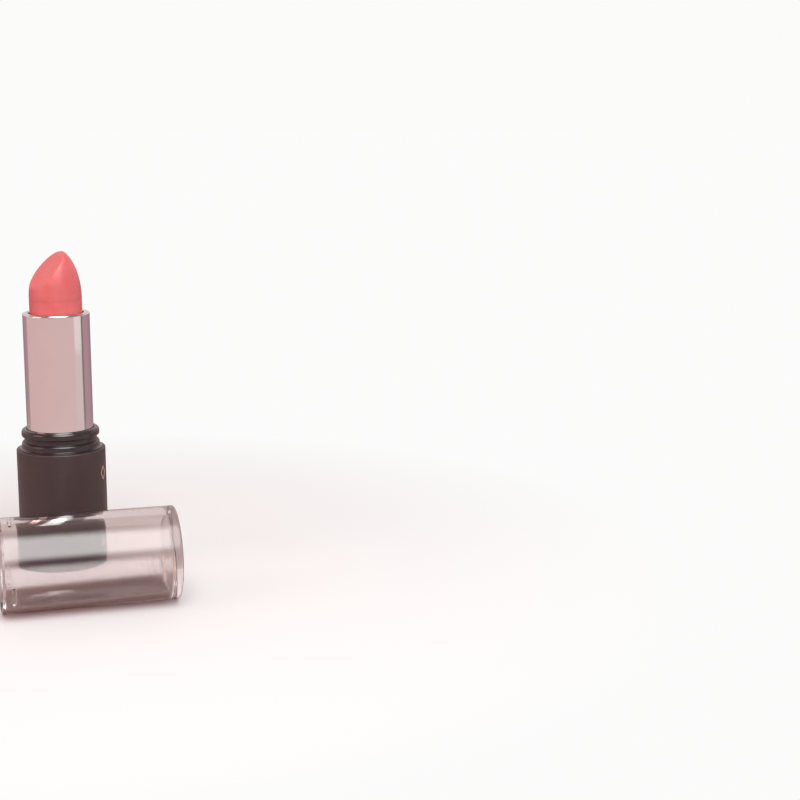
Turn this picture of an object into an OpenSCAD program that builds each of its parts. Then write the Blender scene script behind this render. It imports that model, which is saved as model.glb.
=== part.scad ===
// Twist-up lipstick, raised part way, with its clear cap lying in front of it.
// Millimetres. +Z is up the lipstick's own axis, and the origin is the centre of the base's foot.
// +X runs along the lying cap, from its mouth to its closed end.

/* [Base] */
// Outer diameter of the base
base_d = 20.6; // [20.6:0.1:21]
// Height of the matt base shell
base_h = 28.6; // [27:0.1:30]
// Wall of the base shell
base_wall = 1; // [0.8:0.1:1.1]

/* [Neck] */
// Diameter of the bead that the cap snaps over
bead_d = 18; // [17.8:0.05:18.1]
// Diameter at the bottom of the snap groove
groove_d = 16.8; // [16.5:0.1:16.9]
// Height of the neck's top above the base shell
neck_h = 4.8; // [4.6:0.1:5]

/* [Tube] */
// Outer diameter of the polished tube
tube_d = 15.4; // [15.4:0.05:15.5]
// Height of the tube's rim above the table
rim_z = 60.7; // [60:0.1:62]

/* [Lipstick] */
// Diameter of the colour bullet
bullet_d = 12.1; // [11.9:0.1:12.2]
// How far the bullet's tip stands above the rim as drawn
tip_out = 14.4; // [12:0.1:14.5]
// Height of the bullet's domed end, if it had no slanted face
dome_h = 11.5; // [10:0.5:13]
// Angle of the slanted face from level
slant = 48; // [40:1:52]
// Direction that the slanted face looks towards, about +Z
slant_dir = 200; // [0:1:359]
// How far the bullet's tip lies off its axis, away from the slanted face
tip_shift = 1.8; // [1:0.1:2]
// Advance of the bullet for one whole turn of the tube
lead = 16; // [14:1:18]

/* [Cap] */
// Overall length of the cap
cap_l = 38.4; // [38:0.1:40]
// Outer diameter of the cap
cap_d = 20.9; // [20.6:0.1:21.2]
// Thickness of the cap's closed end
cap_end = 2; // [1.6:0.1:2.4]
// Bore diameter at the cap's closed end; the bore widens towards the mouth
cap_bore_d = 17; // [16.6:0.1:17.2]
// Number of snap nibs inside the cap's mouth
nib_count = 3; // [2:1:4]
// X of the lying cap's closed end
cap_end_x = 21; // [15:0.5:25]
// Distance from the lipstick's axis to the lying cap's axis
cap_gap_y = 34.4; // [30:0.1:45]

/* [Hidden] */
$fn = 96;

fit = 0.03;      // gap between pieces that are pressed together
run = 0.1;       // radial gap between pieces that turn or slide on each other

base_r = base_d / 2;
cap_r = cap_d / 2;
bead_r = bead_d / 2;
groove_r = groove_d / 2;
neck_top = base_h + neck_h;

// the base, from the table up
label_recess = 0.25;
label_t = 0.12;
label_r = 8;
floor_t = 1.4;
shell_bore_r = base_r - base_wall;
weight_z = floor_t + fit;
weight_h = 5.4;
weight_hole_r = 1.5;
inner_base_z = weight_z + weight_h + fit;

// the neck, as heights above the base shell
slope_h = 0.4;
flange_r = 9;
groove_low = 1.8;
groove_high = 3;
seat_z = base_h - 1;   // ledge that the turning tube stands over
seat_r = 7.3;          // bore that grips the mechanism's foot

// the mechanism, from the inside out
cup_r = 6.3;
cup_bore_r = 5.75;
cup_h = 8;
cup_floor = 0.8;
body_bore_r = 6.4;
body_r = 6.85;
foot_r = seat_r - fit;
foot_z = 12;
foot_floor = 1;
spline_count = 18;
spline_r = 0.25;
body_top = rim_z - 0.8;
snap_r = 7.1;
spiral_bore_r = body_r + run;
tube_r = tube_d / 2;
tube_wall = 0.3;
spiral_r = tube_r - tube_wall - fit;
spiral_top = body_top - 0.6;
tube_z = seat_z + 0.3;
ring_r = 0.32;
ring_z = seat_z + ring_r + fit;
spiral_z = ring_z + ring_r + fit;

// the bullet and the carrier's travel
bullet_r = bullet_d / 2;
tip_z = rim_z + tip_out;
bullet_l = 23;                    // bullet above the cup
cup_top = tip_z - bullet_l;
cup_z = cup_top - cup_h;
lug_r = 0.8;
lug_z = cup_z + 2;
lower_travel = tip_out + 1.5;     // down to 1.5 mm under the rim
raise_travel = 6.5;               // up to the end of the slot
lug_gap = 0.15;
slot_low = lug_z - lower_travel - lug_r - lug_gap;
slot_high = lug_z + raise_travel + lug_r + lug_gap;
slot_w = 2 * (lug_r + run);
groove_axial = 1.95;              // height of the helical slot, measured along the axis
groove_angle = groove_axial / lead * 360;

// the cap, as heights above its mouth
mouth_bevel = 0.6;
mouth_bore_r = bead_r + 0.15;
nib_low = 1.9;
nib_h = 1;
nib_proud = 0.37;
nib_angle = 30;
top_round = 0.6;

// the points of a round corner: centre, radius, first and last angle
function arc(c, r, a0, a1, n = 8) =
    [for (i = [0:n]) let (a = a0 + (a1 - a0) * i / n) [c[0] + r * cos(a), c[1] + r * sin(a)]];

// the points of a quarter-ellipse dome of radius r and height h that starts at z0
function dome(r, h, z0, n = 24) = [for (i = [0:n]) let (a = 90 * i / n) [r * cos(a), z0 + h * sin(a)]];

// a plain tube
module ring_of(r_out, r_in, z0, z1) {
    translate([0, 0, z0]) difference() {
        cylinder(r = r_out, h = z1 - z0);
        translate([0, 0, -1]) cylinder(r = r_in, h = z1 - z0 + 2);
    }
}

// the matt outer cup of the base, with a shallow recess for the label
module base_shell() {
    foot_round = 0.5;
    rim_round = 0.25;
    color([0.2, 0.16, 0.16]) rotate_extrude() polygon(concat(
        [[0, label_recess], [label_r + 0.15, label_recess], [label_r + 0.15, 0]],
        arc([base_r - foot_round, foot_round], foot_round, -90, 0),
        arc([base_r - rim_round, base_h - rim_round], rim_round, 0, 90),
        [[shell_bore_r, base_h], [shell_bore_r, floor_t], [0, floor_t]]));
}

// the moulding pressed into the shell: it grips the mechanism and forms the neck with its snap bead
module inner_base() {
    round = 0.8;
    edge = 0.55;
    slope_r = base_r - 0.25;
    top_chamfer = 0.25;
    tube_bore_r = tube_r + run;
    color([0.16, 0.13, 0.13]) rotate_extrude() polygon(concat(
        [[seat_r, inner_base_z], [shell_bore_r - fit, inner_base_z], [shell_bore_r - fit, base_h + 0.01],
         [slope_r, base_h + 0.01], [flange_r, base_h + slope_h]],
        arc([flange_r - edge, base_h + groove_low - edge], edge, 0, 90),
        [[groove_r, base_h + groove_low], [groove_r, base_h + groove_high]],
        arc([bead_r - 0.3, base_h + groove_high + 0.3], 0.3, -90, 0),
        arc([bead_r - round, neck_top - round], round, 0, 90),
        [[tube_bore_r + top_chamfer, neck_top], [tube_bore_r, neck_top - top_chamfer],
         [tube_bore_r, seat_z], [seat_r, seat_z]]));
}

// the steel slug that gives the base its heft
module base_weight() {
    color("silver") ring_of(shell_bore_r - 0.2, weight_hole_r, weight_z, weight_z + weight_h);
}

// the round sticker under the base
module shade_label() {
    color("coral") translate([0, 0, label_recess - label_t]) cylinder(r = label_r, h = label_t - 0.005);
}

// the slotted tube of the mechanism, fixed in the base: its slots guide the carrier's lugs
module inner_body() {
    color("ivory") difference() {
        union() {
            ring_of(body_r, body_bore_r, seat_z - 1, body_top);
            ring_of(foot_r, body_bore_r, foot_z, seat_z);
            translate([0, 0, foot_z]) cylinder(r = foot_r, h = foot_floor);
            rotate_extrude() polygon([[body_r - 0.1, body_top - 0.5], [snap_r - 0.1, body_top - 0.5],
                [snap_r, body_top - 0.4], [body_r, body_top], [body_r - 0.1, body_top]]);
        }
        rotate_extrude() translate([body_r + 0.15, ring_z]) circle(r = ring_r + 0.01, $fn = 32);
        for (side = [0, 180]) rotate([0, 0, side])
            translate([0, -slot_w / 2, slot_low]) cube([body_r + 2, slot_w, slot_high - slot_low]);
        for (i = [0:spline_count - 1]) rotate([0, 0, (i + 0.5) * 360 / spline_count])
            translate([foot_r + 0.05, 0, foot_z - 1]) cylinder(r = spline_r, h = seat_z - foot_z - 2, $fn = 16);
    }
}

// the silicone ring that makes the twist firm
module brake_ring() {
    color("white") rotate_extrude() translate([body_r + 0.15, ring_z]) circle(r = ring_r, $fn = 32);
}

// the polished tube, with its rim turned in over the mechanism
module metal_tube() {
    lip_r = bullet_r + 0.4;
    round = 0.35;
    bore_r = tube_r - tube_wall;
    color([0.85, 0.82, 0.82]) rotate_extrude() polygon(concat(
        [[bore_r, tube_z], [tube_r, tube_z]],
        arc([tube_r - round, rim_z - round], round, 0, 90),
        arc([lip_r + 0.15, rim_z - 0.15], 0.15, 90, 270),
        [[bore_r, rim_z - tube_wall]]));
}

// the cam tube fixed in the polished tube: two helical slots drive the carrier's lugs
module spiral_sleeve() {
    slot_span = slot_high - slot_low;
    color("lightgray") difference() {
        ring_of(spiral_r, spiral_bore_r, spiral_z, spiral_top);
        for (side = [0, 180]) rotate([0, 0, side + (slot_low - lug_z) / lead * 360])
            translate([0, 0, slot_low]) linear_extrude(height = slot_span, twist = -slot_span / lead * 360,
                slices = 60, $fn = 4) polygon([for (p = [[6.4, -1], [8.3, -1], [8.3, 1], [6.4, 1]])
                    p[0] * [cos(p[1] * groove_angle / 2), sin(p[1] * groove_angle / 2)]]);
    }
}

// the cup that holds the bullet, with a lug on each side
module carrier_cup() {
    vent_r = 0.6;
    lug_reach = tube_r - tube_wall - 0.12;
    color("gainsboro") difference() {
        union() {
            translate([0, 0, cup_z]) cylinder(r = cup_r, h = cup_h);
            for (side = [0, 180]) rotate([0, 0, side])
                translate([cup_bore_r, 0, lug_z]) rotate([0, 90, 0]) cylinder(r = lug_r, h = lug_reach - cup_bore_r);
        }
        translate([0, 0, cup_z + cup_floor]) cylinder(r = cup_bore_r, h = cup_h);
        translate([0, 0, cup_z - 1]) cylinder(r = vent_r, h = cup_h);
    }
}

// the colour bullet: a stem in the cup, a cylinder, and a dome with one slanted face
module bullet() {
    stem_r = cup_bore_r - fit;
    // the slanted face takes this much off the full dome, because its upper edge is the tip
    dome_drop = dome_h * (1 - sqrt(1 - pow(tip_shift / bullet_r, 2)));
    color([0.92, 0.42, 0.42]) difference() {
        rotate_extrude() polygon(concat(
            [[0, cup_z + cup_floor + fit], [stem_r, cup_z + cup_floor + fit], [stem_r, cup_top + fit],
             [bullet_r, cup_top + fit]],
            dome(bullet_r, dome_h, tip_z + dome_drop - dome_h)));
        rotate([0, 0, slant_dir]) translate([-tip_shift, 0, tip_z]) rotate([0, slant, 0])
            translate([-20, -10, 0]) cube([40, 20, 20]);
    }
}

// the clear cap standing on its mouth: thick wall, drafted bore, bevelled mouth and snap nibs
module standing_cap() {
    mouth_round = 0.15;
    bore_r = cap_bore_d / 2;
    inner_z = cap_l - cap_end;
    inner_round = 0.4;
    rotate_extrude() polygon(concat(
        [[mouth_bore_r + mouth_bevel, 0]],
        arc([cap_r - mouth_round, mouth_round], mouth_round, -90, 0),
        arc([cap_r - top_round, cap_l - top_round], top_round, 0, 90),
        [[0, cap_l], [0, inner_z]],
        arc([bore_r - inner_round, inner_z - inner_round], inner_round, 90, 0),
        [[mouth_bore_r, nib_low + nib_h], [mouth_bore_r, mouth_bevel]]));
    for (i = [0:nib_count - 1]) rotate([0, 0, 180 + i * 360 / nib_count - nib_angle / 2])
        rotate_extrude(angle = nib_angle) polygon([[mouth_bore_r + 0.2, nib_low],
            [mouth_bore_r - nib_proud + 0.25, nib_low], [mouth_bore_r - nib_proud, nib_low + 0.3],
            [mouth_bore_r - nib_proud, nib_low + nib_h - 0.3], [mouth_bore_r - nib_proud + 0.25, nib_low + nib_h],
            [mouth_bore_r + 0.2, nib_low + nib_h]]);
}

// the cap as it lies on the table, mouth towards -X
module cap() {
    color([0.95, 0.8, 0.8, 0.4]) translate([cap_end_x - cap_l, -cap_gap_y, cap_r])
        rotate([0, 90, 0]) standing_cap();
}

base_shell();
inner_base();
base_weight();
shade_label();
inner_body();
brake_ring();
metal_tube();
spiral_sleeve();
carrier_cup();
bullet();
cap();
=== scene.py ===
"""A twist-up lipstick with its clear cap lying in front of it.

Its looks, its light and its camera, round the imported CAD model.
"""
import math

import bmesh
import bpy
from mathutils import Matrix, Vector


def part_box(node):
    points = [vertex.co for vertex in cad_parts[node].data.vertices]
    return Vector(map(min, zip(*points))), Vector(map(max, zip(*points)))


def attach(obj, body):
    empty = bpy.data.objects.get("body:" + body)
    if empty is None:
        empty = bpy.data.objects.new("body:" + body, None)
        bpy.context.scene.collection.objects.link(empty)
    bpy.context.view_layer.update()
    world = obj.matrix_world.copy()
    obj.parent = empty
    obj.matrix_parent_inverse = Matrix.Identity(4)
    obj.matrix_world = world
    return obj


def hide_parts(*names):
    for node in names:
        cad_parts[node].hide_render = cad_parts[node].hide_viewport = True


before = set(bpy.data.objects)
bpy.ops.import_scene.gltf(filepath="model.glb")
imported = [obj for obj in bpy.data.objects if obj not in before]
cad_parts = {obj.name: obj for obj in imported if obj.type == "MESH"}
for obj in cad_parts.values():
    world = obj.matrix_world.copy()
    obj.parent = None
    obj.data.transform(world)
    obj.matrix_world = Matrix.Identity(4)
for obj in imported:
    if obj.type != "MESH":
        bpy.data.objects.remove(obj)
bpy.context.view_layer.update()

MM = 0.001

# ---------------------------------------------------------------- sizes

SEGMENTS = 192            # sides of every turned piece
SHARP = math.radians(40)  # edges steeper than this aren't shaded smooth
SAME_POINT = 1e-7         # metres; points closer than this are one point
NEAR = 1e-6               # metres; leeway when a point is looked up by its place

_, BASE_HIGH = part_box("base_shell")
NECK_LOW, NECK_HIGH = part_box("inner_base")
TUBE_LOW, TUBE_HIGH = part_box("metal_tube")
BULLET_LOW, BULLET_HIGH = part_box("bullet")
_, CUP_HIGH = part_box("carrier_cup")
CAP_LOW, CAP_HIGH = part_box("cap")

BASE_R = BASE_HIGH.x
BASE_TOP = BASE_HIGH.z
TUBE_R = TUBE_HIGH.x
BULLET_R = BULLET_HIGH.x
CAP_R = (CAP_HIGH.z - CAP_LOW.z) / 2
CAP_L = CAP_HIGH.x - CAP_LOW.x


# ---------------------------------------------------------------- mesh helpers

def fillet(corners, steps=6, hold=0.12 * MM):
    """The outline through corners (r, z, radius), each rounded by an arc of its radius.

    A point is held just before and just after each corner, so that smooth shading stays level between them.
    """
    points = []
    for i, (x, z, radius) in enumerate(corners):
        here = Vector((x, z))
        before = Vector(corners[i - 1][:2]) - here
        after = Vector(corners[(i + 1) % len(corners)][:2]) - here
        back, on = before.normalized(), after.normalized()
        reach = 0
        if radius > 0:
            half = before.angle(after) / 2
            reach = radius / math.tan(half)
        start = here + back * reach
        end = here + on * reach
        if before.length > 2 * (reach + hold):
            points.append(start + back * hold)
        if radius > 0:
            centre = here + (back + on).normalized() * (radius / math.sin(half))
            first = start - centre
            turn = first.angle_signed(end - centre)
            for k in range(steps + 1):
                a = -turn * k / steps
                c, s = math.cos(a), math.sin(a)
                points.append(centre + Vector((first.x * c - first.y * s, first.x * s + first.y * c)))
        else:
            points.append(here)
        if after.length > 2 * (reach + hold):
            points.append(end + on * hold)
    return points


def turned(name, outline, place=Matrix.Identity(4), shift=None):
    """A closed solid of revolution about +Z: outline is a closed loop of (r, z) points.

    shift(angle, r, z) may move a point in the plane of its own angle.
    """
    bm = bmesh.new()
    rings = []
    for p in outline:
        if p[0] < SAME_POINT:
            rings.append([bm.verts.new((0, 0, p[1]))])
            continue
        ring = []
        for k in range(SEGMENTS):
            a = 2 * math.pi * k / SEGMENTS
            r, z = shift(a, p[0], p[1]) if shift else (p[0], p[1])
            ring.append(bm.verts.new((r * math.cos(a), r * math.sin(a), z)))
        rings.append(ring)
    for low, high in zip(rings, rings[1:] + rings[:1]):
        if len(low) == 1 and len(high) == 1:
            continue
        for k in range(SEGMENTS):
            n = (k + 1) % SEGMENTS
            if len(low) == 1:
                bm.faces.new((low[0], high[n], high[k]))
            elif len(high) == 1:
                bm.faces.new((low[k], low[n], high[0]))
            else:
                bm.faces.new((low[k], low[n], high[n], high[k]))
    return finish_mesh(name, bm, place)


def finish_mesh(name, bm, place):
    """Turns bm into a smooth-shaded object of that name, in its place."""
    bmesh.ops.remove_doubles(bm, verts=bm.verts, dist=SAME_POINT)
    bmesh.ops.recalc_face_normals(bm, faces=bm.faces)
    mesh = bpy.data.meshes.new(name)
    bm.to_mesh(mesh)
    bm.free()
    mesh.transform(place)
    mesh.polygons.foreach_set("use_smooth", [True] * len(mesh.polygons))
    mesh.set_sharp_from_angle(angle=SHARP)
    obj = bpy.data.objects.new(name, mesh)
    bpy.context.scene.collection.objects.link(obj)
    return obj


def add_piece(obj, body, material, slot, *nodes):
    """Gives a piece its body and its material, and hides the CAD nodes that it stands for. The slot is not
    used.
    """
    obj.data.materials.clear()
    obj.data.materials.append(material)
    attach(obj, body)
    if nodes:
        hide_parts(*nodes)
    return obj


# ---------------------------------------------------------------- materials

class NodeTree:
    """The nodes of a material, a lamp or the world."""

    def __init__(self, owner):
        owner.use_nodes = True
        self.nodes = owner.node_tree.nodes
        self.links = owner.node_tree.links

    def node(self, kind, inputs=None, **settings):
        """A new node. An input is a value or another node's output."""
        n = self.nodes.new(kind)
        for key, value in settings.items():
            setattr(n, key, value)
        for key, value in (inputs or {}).items():
            if isinstance(value, bpy.types.NodeSocket):
                self.links.new(value, n.inputs[key])
            else:
                n.inputs[key].default_value = value
        return n

    def ramp(self, fac, stops):
        """Maps fac through (position, value) stops, where a value is a grey or a colour."""
        n = self.node("ShaderNodeValToRGB", {"Fac": fac})
        while len(n.color_ramp.elements) < len(stops):
            n.color_ramp.elements.new(0.5)
        for element, (position, value) in zip(n.color_ramp.elements, stops):
            element.position = position
            element.color = (value, value, value, 1) if isinstance(value, float) else (*value, 1)
        return n.outputs["Color"]


class Shader(NodeTree):
    """A node material under one Principled shader, with short calls for the nodes used here."""

    def __init__(self, name, **values):
        self.material = bpy.data.materials.new(name)
        super().__init__(self.material)
        self.main = self.nodes["Principled BSDF"]
        self.out = self.nodes["Material Output"]
        for socket, value in values.items():
            self.main.inputs[socket.replace("_", " ")].default_value = value

    def place(self, scale=(1, 1, 1)):
        """Object coordinates in metres, stretched by scale."""
        coords = self.node("ShaderNodeTexCoord").outputs["Object"]
        return self.node("ShaderNodeMapping", {"Vector": coords, "Scale": scale}).outputs[0]

    def noise(self, size, detail=3.0, stretch=(1, 1, 1)):
        """Noise whose blobs are about size metres across."""
        return self.node("ShaderNodeTexNoise", {"Vector": self.place(stretch), "Scale": 1 / size,
                                                "Detail": detail}).outputs["Fac"]

    def bump(self, height, depth, after=None):
        """Bump of that depth in metres, on top of an earlier one."""
        inputs = {"Height": height, "Distance": depth, "Strength": 1.0}
        if after is not None:
            inputs["Normal"] = after
        return self.node("ShaderNodeBump", inputs).outputs["Normal"]

    def use(self, socket, source):
        self.links.new(source, self.main.inputs[socket])


def satin_plastic(name, colour, rough, grain, gloss=0.5):
    """Moulded plastic with a fine eroded texture and slightly uneven gloss."""
    s = Shader(name, Specular_IOR_Level=gloss)
    darker = tuple(c * 0.9 for c in colour)
    s.use("Base Color", s.ramp(s.noise(6 * MM, 2.0), [(0.35, darker), (0.65, colour)]))
    s.use("Roughness", s.ramp(s.noise(1.5 * MM), [(0.3, rough - 0.04), (0.7, rough + 0.04)]))
    s.use("Normal", s.bump(s.noise(grain, 4.0), grain * 0.035))
    return s.material


def wax():
    """Cast lipstick: creamy colour, a soft sheen, a faint bloom and slow ripples from the mould."""
    s = Shader("lip_wax", Subsurface_Weight=0.22, Subsurface_Scale=0.9 * MM, Specular_IOR_Level=0.5)
    s.main.inputs["Subsurface Radius"].default_value = (1.0, 0.35, 0.3)
    deep, pale = (0.67, 0.13, 0.135), (0.71, 0.16, 0.16)
    s.use("Base Color", s.ramp(s.noise(3 * MM, 3.0), [(0.3, deep), (0.7, pale)]))
    s.use("Roughness", s.ramp(s.noise(0.8 * MM, 4.0), [(0.3, 0.33), (0.7, 0.43)]))
    ripple = s.bump(s.noise(2.2 * MM, 1.0, (1, 1, 0.6)), 0.02 * MM)
    s.use("Normal", s.bump(s.noise(0.12 * MM, 3.0), 0.002 * MM, ripple))
    return s.material


def polished_metal(name, colour, rough, ring_depth):
    """Bright drawn metal: near-mirror, with hairlines round it from polishing on a lathe."""
    s = Shader(name, Metallic=1.0)
    darker = tuple(c * 0.97 for c in colour)
    s.use("Base Color", s.ramp(s.noise(8 * MM, 2.0), [(0.3, darker), (0.7, colour)]))
    wear = s.noise(1 * MM, 4.0, (0.2, 0.2, 6))
    s.use("Roughness", s.ramp(wear, [(0.3, rough * 0.7), (0.7, rough * 1.3)]))
    s.use("Normal", s.bump(s.noise(0.5 * MM, 3.0, (0.1, 0.1, 4)), ring_depth))
    return s.material


def clear_plastic():
    """Clear cap plastic, tinted through its thickness. Lamps shine through it, so its shadow is light."""
    s = Shader("cap_clear", Transmission_Weight=1.0, IOR=1.5)
    s.main.inputs["Base Color"].default_value = (0.98, 0.96, 0.958, 1)
    s.use("Roughness", s.ramp(s.noise(2 * MM, 3.0), [(0.4, 0.0), (0.8, 0.03)]))
    path = s.node("ShaderNodeLightPath")
    open_to_light = s.node("ShaderNodeBsdfTransparent", {"Color": (0.62, 0.53, 0.53, 1)})
    surface = s.main.outputs[0]
    for ray in ("Is Diffuse Ray", "Is Shadow Ray"):
        surface = s.node("ShaderNodeMixShader", {0: path.outputs[ray], 1: surface,
                                                 2: open_to_light.outputs[0]}).outputs[0]
    s.links.new(surface, s.out.inputs["Surface"])
    tint = s.node("ShaderNodeVolumeAbsorption", {"Color": (0.6, 0.45, 0.45, 1), "Density": 12.0})
    s.links.new(tint.outputs[0], s.out.inputs["Volume"])
    return s.material


def rubber():
    """Translucent silicone."""
    s = Shader("silicone", Subsurface_Weight=0.3, Subsurface_Scale=0.5 * MM)
    s.use("Base Color", s.ramp(s.noise(1 * MM), [(0.3, 0.6), (0.7, 0.7)]))
    s.use("Roughness", s.ramp(s.noise(0.5 * MM), [(0.3, 0.45), (0.7, 0.6)]))
    return s.material


def label_print():
    """The blank sticker: the shade's colour inside a pale rim."""
    s = Shader("shade_print", Roughness=0.45)
    shade, pale_rim = (0.76, 0.2, 0.19), (0.85, 0.8, 0.78)
    label_r = 8 * MM
    coords = s.node("ShaderNodeTexCoord").outputs["Object"]
    flat = s.node("ShaderNodeVectorMath", {0: coords, 1: (1, 1, 0)}, operation="MULTIPLY")
    radius = s.node("ShaderNodeVectorMath", {0: flat.outputs[0]}, operation="LENGTH").outputs["Value"]
    share = s.node("ShaderNodeMath", {0: radius, 1: label_r}, operation="DIVIDE").outputs[0]
    s.use("Base Color", s.ramp(share, [(0.0, shade), (0.84, shade), (0.86, pale_rim), (1.0, pale_rim)]))
    s.use("Normal", s.bump(s.noise(0.2 * MM), 0.004 * MM))
    return s.material


BASE_PLASTIC = satin_plastic("base_plastic", (0.060, 0.037, 0.037), 0.42, 0.12 * MM)
NECK_PLASTIC = satin_plastic("neck_plastic", (0.028, 0.018, 0.018), 0.17, 0.1 * MM, 0.75)
ACETAL = satin_plastic("acetal", (0.72, 0.7, 0.64), 0.4, 0.15 * MM)
CUP_PLASTIC = satin_plastic("cup_plastic", (0.76, 0.76, 0.74), 0.3, 0.15 * MM)
CAM_PLASTIC = satin_plastic("cam_plastic", (0.66, 0.66, 0.64), 0.3, 0.15 * MM)
STEEL = polished_metal("weight_steel", (0.56, 0.55, 0.54), 0.3, 0.004 * MM)
SILVER = polished_metal("tube_silver", (0.93, 0.9, 0.9), 0.07, 0.0006 * MM)
GOLD = polished_metal("gold_foil", (0.93, 0.70, 0.38), 0.35, 0.001 * MM)
WAX = wax()
CLEAR = clear_plastic()


# ---------------------------------------------------------------- pieces

def build_base_shell():
    """The matt outer cup of the base, with the label's recess in its foot."""
    wall, floor_t = 1.0 * MM, 1.4 * MM
    recess_r, recess = 8.15 * MM, 0.25 * MM
    outline = fillet([(0, recess, 0), (recess_r, recess, 0.05 * MM), (recess_r, 0, 0.08 * MM),
                      (BASE_R, 0, 0.5 * MM), (BASE_R, BASE_TOP, 0.3 * MM),
                      (BASE_R - wall, BASE_TOP, 0.05 * MM), (BASE_R - wall, floor_t, 0.3 * MM),
                      (0, floor_t, 0)])
    add_piece(turned("matt_base_shell", outline), "base", BASE_PLASTIC, "base_plastic", "base_shell")


def build_neck():
    """The moulding inside the base, from its foot to the slope, the groove and the snap bead."""
    bore_r = 7.3 * MM
    tube_bore_r = TUBE_R + 0.1 * MM
    seat_z = BASE_TOP - 1 * MM
    wall_r = BASE_R - 1.03 * MM
    slope_r, slope_top_z = BASE_R - 0.25 * MM, BASE_TOP + 0.4 * MM
    groove_r, groove_low, groove_high = 8.4 * MM, BASE_TOP + 1.8 * MM, BASE_TOP + 3 * MM
    flange_r = bead_r = 9 * MM
    slope_low_z = BASE_TOP + 0.01 * MM
    low, top = NECK_LOW.z, NECK_HIGH.z
    outline = fillet([(bore_r, low, 0), (wall_r, low, 0.2 * MM), (wall_r, slope_low_z, 0),
                      (slope_r, slope_low_z, 0.08 * MM), (flange_r, slope_top_z, 0.15 * MM),
                      (flange_r, groove_low, 0.55 * MM), (groove_r, groove_low, 0.1 * MM),
                      (groove_r, groove_high, 0.15 * MM),
                      (bead_r, groove_high, 0.3 * MM), (bead_r, top, 0.8 * MM),
                      (tube_bore_r, top, 0.2 * MM), (tube_bore_r, seat_z, 0), (bore_r, seat_z, 0)])
    add_piece(turned("neck", outline), "base", NECK_PLASTIC, "neck_plastic", "inner_base")


def build_tube():
    """The polished tube, with its rim turned in."""
    wall = 0.3 * MM
    bore_r = TUBE_R - wall
    lip_r = BULLET_R + 0.4 * MM
    low, top = TUBE_LOW.z, TUBE_HIGH.z
    outline = fillet([(bore_r, low, 0), (TUBE_R, low, 0.08 * MM), (TUBE_R, top, 0.4 * MM),
                      (lip_r, top, 0.14 * MM), (lip_r, top - wall, 0.14 * MM),
                      (bore_r, top - wall, 0.1 * MM)])
    add_piece(turned("polished_tube", outline), "tube", SILVER, "tube_metal", "metal_tube")


def build_bullet():
    """A domed stick whose tip is cut by one slanted face, with the edge between them worn soft."""
    tip_z = BULLET_HIGH.z
    dome_h, slant, tip_shift = 11.5 * MM, math.radians(48), 1.8 * MM
    slant_to = math.radians(200)
    soft = 1.3 * MM
    drop = dome_h * (1 - math.sqrt(1 - (tip_shift / BULLET_R) ** 2))
    dome_z = tip_z + drop - dome_h
    stem_r = BULLET_R - 0.33 * MM
    seam_z = dome_z - 0.6 * MM

    def cut(a, r, z):
        """Lowers a point to the slanted face, and a little more close to the face's edge."""
        if z < dome_z - soft:
            return r, z
        along = r * math.cos(a - slant_to)
        plane = tip_z - (along + tip_shift) * math.tan(slant)
        near = max(soft - abs(z - plane), 0) / soft
        return r, min(z, plane) - near * near * soft / 4 * (1 if z > dome_z else 0)

    steps = 72
    angles = [math.pi / 2 * k / steps for k in range(steps)]
    dome = [(BULLET_R * math.cos(a), dome_z + dome_h * math.sin(a)) for a in angles]
    shoulder_z = CUP_HIGH.z + 0.03 * MM
    seam_h, seam_depth = 0.15 * MM, 0.02 * MM
    outline = [(0, BULLET_LOW.z), (stem_r, BULLET_LOW.z), (stem_r, shoulder_z), (BULLET_R, shoulder_z),
               (BULLET_R, seam_z - seam_h), (BULLET_R - seam_depth, seam_z), (BULLET_R, seam_z + seam_h),
               *dome, (0, dome_z + dome_h)]
    bullet = turned("colour_bullet", outline, shift=cut)
    on_axis = [v for v in bullet.data.vertices if v.co.xy.length < NEAR]
    max(on_axis, key=lambda v: v.co.z).co.z = tip_z - tip_shift * math.tan(slant)
    add_piece(bullet, "carrier", WAX, "lip_colour", "bullet")


def cap_place():
    """From the cap standing on its mouth at the origin to where the cap lies."""
    lie = Matrix.Rotation(math.pi / 2, 4, "Y")
    centre = (CAP_LOW + CAP_HIGH) / 2
    return Matrix.Translation((CAP_LOW.x, centre.y, centre.z)) @ lie


def build_cap():
    """The clear cap, built standing on its mouth: thick wall, drafted bore, bevelled mouth and snap nibs."""
    bore_r, mouth_r = 8.5 * MM, 9.15 * MM
    end_t = 2 * MM
    bevel = 0.6 * MM
    nib_count = 3
    nib_low, nib_high, nib_proud, nib_slope = 1.9 * MM, 2.9 * MM, 0.37 * MM, 0.25 * MM
    crest_low, crest_high = nib_low + nib_slope, nib_high - nib_slope
    nib_half = math.radians(15)
    nib_edge = math.radians(2)
    inner_z = CAP_L - end_t
    corners = [(mouth_r + bevel, 0, 0.05 * MM), (CAP_R, 0, 0.15 * MM), (CAP_R, CAP_L, 0.6 * MM),
               (0, CAP_L, 0), (0, inner_z, 0), (bore_r, inner_z, 0.4 * MM),
               (mouth_r, nib_high, 0), (mouth_r, crest_high, 0),
               (mouth_r, crest_low, 0), (mouth_r, nib_low, 0), (mouth_r, bevel, 0.05 * MM)]

    def nibs(a, r, z):
        """Draws the bore's wall inwards between the crests' heights, at each nib."""
        pitch = 2 * math.pi / nib_count
        off = min(abs((a - k * pitch) % (2 * math.pi) - math.pi) for k in range(nib_count))
        share = min(max((nib_half - off) / nib_edge, 0), 1)
        inside = crest_low - NEAR <= z <= crest_high + NEAR and r < mouth_r + NEAR
        return (r - nib_proud * share if inside else r), z

    cap = turned("clear_cap", fillet(corners, 8), cap_place(), shift=nibs)
    add_piece(cap, "cap", CLEAR, "cap_clear", "cap")


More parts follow.
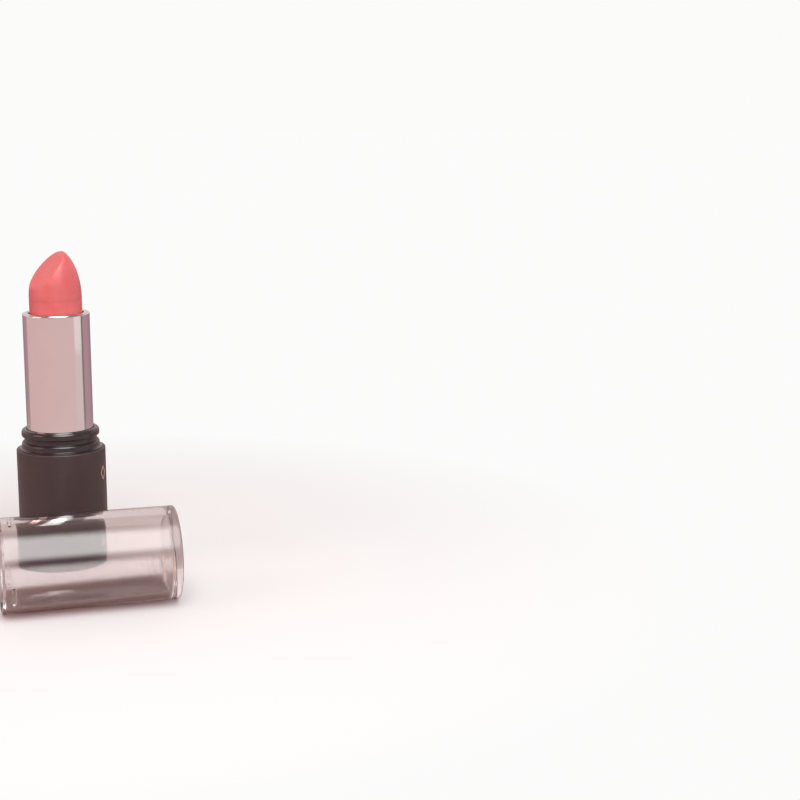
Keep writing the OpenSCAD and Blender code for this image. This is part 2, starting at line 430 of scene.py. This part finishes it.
def foil_bar(bm, ends, width):
    """One straight foil stroke on the base's side, between two (round, up) points on its surface."""
    (u0, v0), (u1, v1) = ends
    along = Vector((u1 - u0, v1 - v0))
    side = Vector((-along.y, along.x)).normalized() * width / 2
    steps = 6
    low, high = BASE_R + 0.004 * MM, BASE_R + 0.022 * MM
    loops = []
    for k in range(steps + 1):
        middle = Vector((u0, v0)) + along * k / steps
        loop = []
        for sign, r in ((-1, low), (1, low), (1, high), (-1, high)):
            p = middle + side * sign
            a = p.x / BASE_R
            loop.append(bm.verts.new((r * math.cos(a), r * math.sin(a), p.y)))
        loops.append(loop)
    for one, two in zip(loops, loops[1:]):
        for i in range(4):
            j = (i + 1) % 4
            bm.faces.new((one[i], one[j], two[j], two[i]))
    bm.faces.new(loops[0][::-1])
    bm.faces.new(loops[-1])


def build_foil():
    """Two small plain gold ornaments on the base's side: a lozenge, and a pair of strokes below it."""
    turn = math.radians(331)
    high_z, low_z = BASE_TOP * 0.8, BASE_TOP * 0.28
    half_w, half_h, line = 1.1 * MM, 1.6 * MM, 0.28 * MM
    bm = bmesh.new()
    tips = [(0, half_h), (half_w, 0), (0, -half_h), (-half_w, 0)]
    for one, two in zip(tips, tips[1:] + tips[:1]):
        foil_bar(bm, ((one[0], one[1] + high_z), (two[0], two[1] + high_z)), line)
    for x in (-0.5 * MM, 0.5 * MM):
        foil_bar(bm, ((x, low_z - half_h), (x, low_z + half_h)), line)
    foil = finish_mesh("gold_foil_marks", bm, Matrix.Rotation(turn, 4, "Z"))
    add_piece(foil, "base", GOLD, "tube_metal")


def dress_cad_nodes():
    """Materials for the inner pieces, which stay as the CAD made them."""
    for node, material in (("base_weight", STEEL), ("inner_body", ACETAL), ("spiral_sleeve", CAM_PLASTIC),
                           ("carrier_cup", CUP_PLASTIC), ("brake_ring", rubber()),
                           ("shade_label", label_print())):
        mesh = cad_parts[node].data
        mesh.materials.clear()
        mesh.materials.append(material)


build_base_shell()
build_neck()
build_tube()
build_bullet()
build_cap()
build_foil()
dress_cad_nodes()


# ---------------------------------------------------------------- stage, light and camera

# the studio round the lipstick as its metal mirrors it: colours by direction about +Z from +X, in degrees
BEIGE, BLUSH, PALE = (0.66, 0.455, 0.435), (0.68, 0.48, 0.47), (0.64, 0.54, 0.525)
MAUVE, PLUM, SHADE = (0.42, 0.27, 0.30), (0.33, 0.23, 0.245), (0.24, 0.17, 0.17)
ROUND_ABOUT = [(-180, BEIGE), (-95, BLUSH), (-38, BLUSH), (-33, PALE), (-6, PALE), (-3, SHADE), (2, SHADE),
               (6, MAUVE), (30, MAUVE), (45, PLUM), (105, PLUM), (140, MAUVE), (148, BEIGE)]

# the floor as the lens sees it: near the object, far from it, and the distances (m) between which it changes
FLOOR_NEAR, FLOOR_FAR, FLOOR_LIMITS = (0.82, 0.815, 0.813), (0.97, 0.967, 0.966), (0.05, 0.15)
# the floor as the object sees it: far colours from ROUND_ABOUT, but one even colour through the cap
BLUSH_NEAR, BLUSH_LIMITS, THROUGH_CAP = (0.50, 0.42, 0.41), (0.08, 0.2), (0.70, 0.58, 0.57)

# the walls and ceiling: what the lens sees, and what the object sees at the dark and the pale end of an axis
WALL_SEEN = (0.97, 0.963, 0.961)
WALL_DARK, WALL_PALE = (0.27, 0.225, 0.22), (0.74, 0.62, 0.605)
WALL_AXIS, WALL_LIMITS = (0, 0.6, -0.8), (-0.25, 0.05)


def build_floor():
    """A plain pale floor. The lens sees it near white, and reflections see its blush."""
    floor_r, drop = 4.0, 0.02 * MM
    bm = bmesh.new()
    bmesh.ops.create_circle(bm, cap_ends=True, segments=96, radius=floor_r)
    mesh = bpy.data.meshes.new("floor")
    bm.to_mesh(mesh)
    bm.free()
    floor = bpy.data.objects.new("floor", mesh)
    floor.location.z = -drop
    bpy.context.scene.collection.objects.link(floor)
    s = Shader("pale_floor")
    path = s.node("ShaderNodeLightPath")
    coords = s.node("ShaderNodeTexCoord").outputs["Object"]
    reach = s.node("ShaderNodeVectorMath", {0: coords}, operation="LENGTH").outputs["Value"]

    def near_to_far(near, far, limits):
        """Diffuse floor of one colour near the object, and an even glow of another beyond it."""
        diffuse = s.node("ShaderNodeBsdfDiffuse", {"Color": (*near, 1)})
        glow = s.node("ShaderNodeEmission", {"Color": (*far, 1) if isinstance(far, tuple) else far})
        share = s.node("ShaderNodeMapRange", {"Value": reach, "From Min": limits[0], "From Max": limits[1]})
        return s.node("ShaderNodeMixShader", {0: share.outputs[0], 1: diffuse.outputs[0],
                                              2: glow.outputs[0]}).outputs[0]

    split = s.node("ShaderNodeSeparateXYZ", {0: coords})
    turn = s.node("ShaderNodeMath", {0: split.outputs["Y"], 1: split.outputs["X"]}, operation="ARCTAN2")
    share = s.node("ShaderNodeMapRange", {"Value": turn.outputs[0], "From Min": -math.pi,
                                          "From Max": math.pi})
    around = s.ramp(share.outputs[0], [(0.5 + degrees / 360, colour) for degrees, colour in ROUND_ABOUT])
    through_cap = near_to_far(BLUSH_NEAR, THROUGH_CAP, BLUSH_LIMITS)
    seen = near_to_far(FLOOR_NEAR, FLOOR_FAR, FLOOR_LIMITS)
    look = near_to_far(BLUSH_NEAR, around, BLUSH_LIMITS)
    for ray, shader in (("Is Transmission Ray", through_cap), ("Is Camera Ray", seen)):
        look = s.node("ShaderNodeMixShader", {0: path.outputs[ray], 1: look, 2: shader}).outputs[0]
    s.links.new(look, s.out.inputs["Surface"])
    s.nodes.remove(s.main)
    mesh.materials.append(s.material)


def area_light(name, at, aim, size, radiance, colour=(1, 1, 1), soft=False):
    """A rectangle of that radiance, which the lens doesn't see. A soft one fades towards its edges."""
    light = bpy.data.lights.new(name, "AREA")
    light.shape = "RECTANGLE"
    light.size, light.size_y = size
    light.energy = radiance * math.pi * size[0] * size[1]
    light.color = colour
    lamp = bpy.data.objects.new(name, light)
    lamp.location = at
    lamp.rotation_euler = (Vector(aim) - Vector(at)).to_track_quat("-Z", "Y").to_euler()
    lamp.visible_camera = False
    if soft:
        t = NodeTree(light)
        across = t.node("ShaderNodeNewGeometry").outputs["Parametric"]
        centred = t.node("ShaderNodeVectorMath", {0: across, 1: (2, 2, 0), 2: (-1, -1, 0)},
                         operation="MULTIPLY_ADD")
        reach = t.node("ShaderNodeVectorMath", {0: centred.outputs[0]}, operation="LENGTH").outputs["Value"]
        fade = t.node("ShaderNodeMapRange", {"Value": reach, "From Min": 0.4, "From Max": 1.0,
                                             "To Min": 1.0, "To Max": 0.0}, interpolation_type="SMOOTHSTEP")
        t.links.new(fade.outputs[0], t.nodes["Emission"].inputs["Strength"])
    bpy.context.scene.collection.objects.link(lamp)


def build_world():
    """A plain pale studio. It is darker in front of the object and above it than behind it and below."""
    world = bpy.data.worlds.new("studio")
    bpy.context.scene.world = world
    t = NodeTree(world)
    t.nodes.clear()
    direction = t.node("ShaderNodeTexCoord").outputs["Generated"]
    along = t.node("ShaderNodeVectorMath", {0: direction, 1: WALL_AXIS}, operation="DOT_PRODUCT")
    share = t.node("ShaderNodeMapRange", {"Value": along.outputs["Value"], "From Min": WALL_LIMITS[0],
                                          "From Max": WALL_LIMITS[1]})
    felt = t.ramp(share.outputs[0], [(0.0, WALL_DARK), (1.0, WALL_PALE)])
    path = t.node("ShaderNodeLightPath")
    colour = t.node("ShaderNodeMix", {"Factor": path.outputs["Is Camera Ray"], "A": felt,
                                      "B": (*WALL_SEEN, 1)}, data_type="RGBA")
    shade = t.node("ShaderNodeBackground", {"Color": colour.outputs["Result"]})
    t.node("ShaderNodeOutputWorld", {"Surface": shade.outputs[0]})


def build_lights():
    """A big tilted softbox above and in front, and low faint light from both sides."""
    area_light("softbox", (0.05, -0.489, 0.665), (0.0, -0.03, 0.01), (0.95, 1.25), 5.4, soft=True)
    area_light("right_card", (0.236, -0.081, 0.064), (0, 0, 0.064), (0.136, 0.1), 0.14)
    area_light("left_fill", (-0.5, -0.1, 0.25), (0, 0, 0.03), (0.3, 0.4), 1.8, (1, 0.6, 0.55))


def build_camera():
    """A long lens from the front left, a little above the object."""
    heading, dip = math.radians(17.3), math.radians(10.7)
    camera = bpy.data.objects.new("camera", bpy.data.cameras.new("camera"))
    camera.location = (-0.0369, -0.3879, 0.1119)
    level = math.cos(dip)
    forward = Vector((math.sin(heading) * level, math.cos(heading) * level, -math.sin(dip)))
    camera.rotation_euler = forward.to_track_quat("-Z", "Y").to_euler()
    camera.data.lens = 74.25
    camera.data.sensor_width = 36
    camera.data.clip_start, camera.data.clip_end = 0.01, 20
    bpy.context.scene.collection.objects.link(camera)
    bpy.context.scene.camera = camera


build_floor()
build_world()
build_lights()
build_camera()
bpy.context.scene.view_settings.view_transform = "Standard"
# light runs along the clear cap's thick wall by many reflections before it leaves
CAP_BOUNCES = 32
for limit in ("max_bounces", "glossy_bounces", "transmission_bounces"):
    setattr(bpy.context.scene.cycles, limit, CAP_BOUNCES)
